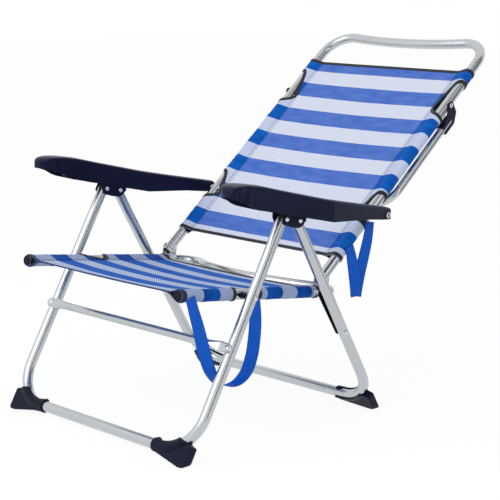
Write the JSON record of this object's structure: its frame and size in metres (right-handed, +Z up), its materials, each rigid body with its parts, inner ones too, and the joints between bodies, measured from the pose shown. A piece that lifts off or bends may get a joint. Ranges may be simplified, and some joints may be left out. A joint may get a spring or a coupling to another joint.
{
  "type": "folding beach chair",
  "caption": "Folding beach chair with a fabric sling seat, a tall reclining back, moulded armrests, tube legs and a fold-out prop leg behind the back.",
  "frame": {"origin": "on the floor, in the middle of the whole chair's box", "axes": "+Z up; the sitter faces -Y; +X is the sitter's left"},
  "size_m": [0.606, 0.9924, 0.7714],
  "materials": {
    "tube_aluminium": "satin anodised, drawn tube",
    "navy_plastic": "moulded, fine grain",
    "black_plastic": "moulded",
    "steel_fastener": "zinc plated",
    "sling_fabric": "woven mesh, blue and pale stripes across",
    "black_binding": "folded tape binding",
    "blue_webbing": "ribbed webbing"
  },
  "bodies": {
    "front_legs": {"front_leg_frame": "tube_aluminium", "front_brace": "tube_aluminium", "brace_rivets": "steel_fastener", "front_left_foot": "navy_plastic", "front_right_foot": "navy_plastic", "front_foot_screws": "black_plastic", "left_top_bracket": "navy_plastic", "right_top_bracket": "navy_plastic", "lock_pins": "steel_fastener", "front_top_rivets": "steel_fastener", "rear_leg_rivets": "steel_fastener"},
    "rear_legs": {"rear_leg_frame": "tube_aluminium", "rear_left_foot": "navy_plastic", "rear_right_foot": "navy_plastic", "rear_foot_screws": "black_plastic", "rear_leg_studs": "steel_fastener"},
    "seat": {"seat_frame": "tube_aluminium", "seat_end_caps": "black_plastic", "seat_pivot_bolts": "steel_fastener", "seat_pivot_spacers": "black_plastic", "left_hinge_plates": "steel_fastener", "right_hinge_plates": "steel_fastener", "hinge_plate_rivets": "steel_fastener", "link_rivets": "steel_fastener", "seat_fabric": "sling_fabric", "seat_binding": "black_binding", "seat_strap": "blue_webbing"},
    "links": {"left_link": "black_plastic", "right_link": "black_plastic"},
    "hinge_pins": {"back_hinge_pins": "steel_fastener"},
    "back": {"back_frame": "tube_aluminium", "prop_pivot_rivets": "steel_fastener", "prop_washers": "black_plastic", "back_fabric": "sling_fabric", "back_binding": "black_binding", "back_strap": "blue_webbing"},
    "prop": {"prop_leg": "tube_aluminium", "left_prop_bracket": "navy_plastic", "right_prop_bracket": "navy_plastic"},
    "armrest_bush_pair": {"armrest_bushes": "steel_fastener"},
    "armrest_bolt_pair": {"armrest_pivot_bolts": "steel_fastener"},
    "left_arm": {"left_armrest": "navy_plastic"},
    "right_arm": {"right_armrest": "navy_plastic"}
  },
  "joints": [
    {"name": "seat_fold", "type": "hinge", "parent": "front_legs", "child": "seat", "pos_m": [0, -0.3114, 0.3014], "axis": [-1, 0, 0], "range_deg": [0, 98], "deforming": ["seat_strap"]},
    {"name": "rear_legs_fold", "type": "hinge", "parent": "front_legs", "child": "rear_legs", "pos_m": [0, -0.192, 0.4396], "axis": [-1, 0, 0], "range_deg": [0, 55.57]},
    {"name": "link_swing", "type": "hinge", "parent": "seat", "child": "links", "pos_m": [0, -0.099, 0.2752], "axis": [-1, 0, 0], "range_deg": [0, 145.53]},
    {"name": "back_fold", "type": "hinge", "parent": "seat", "child": "hinge_pins", "pos_m": [0, -0.068, 0.2995], "axis": [1, 0, 0], "range_deg": [0, 98.2]},
    {"name": "recline", "type": "hinge", "parent": "hinge_pins", "child": "back", "pos_m": [0, -0.068, 0.2995], "axis": [1, 0, 0], "range_deg": [-39.8, 19.2]},
    {"name": "armrest_fold", "type": "hinge", "parent": "back", "child": "armrest_bush_pair", "pos_m": [0, 0.078, 0.421], "axis": [-1, 0, 0], "range_deg": [0, 108]},
    {"name": "armrest_follow", "type": "hinge", "parent": "armrest_bush_pair", "child": "armrest_bolt_pair", "pos_m": [0, 0.078, 0.421], "axis": [-1, 0, 0], "range_deg": [-22.49, 10.95]},
    {"name": "left_armrest_lift", "type": "hinge", "parent": "armrest_bolt_pair", "child": "left_arm", "pos_m": [0, 0.078, 0.421], "axis": [-1, 0, 0], "range_deg": [0, 60]},
    {"name": "right_armrest_lift", "type": "hinge", "parent": "armrest_bolt_pair", "child": "right_arm", "pos_m": [0, 0.078, 0.421], "axis": [-1, 0, 0], "range_deg": [0, 60]},
    {"name": "prop_swing", "type": "hinge", "parent": "back", "child": "prop", "pos_m": [0, 0.33189, 0.63268], "axis": [1, 0, 0], "range_deg": [0, 90]}
  ],
  "couplings": [
    {"joint": "rear_legs_fold", "follows": "seat_fold", "ratio": 0.565},
    {"joint": "link_swing", "follows": "seat_fold", "ratio": 1.483},
    {"joint": "back_fold", "follows": "seat_fold", "ratio": 1},
    {"joint": "armrest_fold", "follows": "seat_fold", "ratio": 1.1},
    {"joint": "armrest_follow", "follows": "recline", "ratio": 0.56}
  ]
}
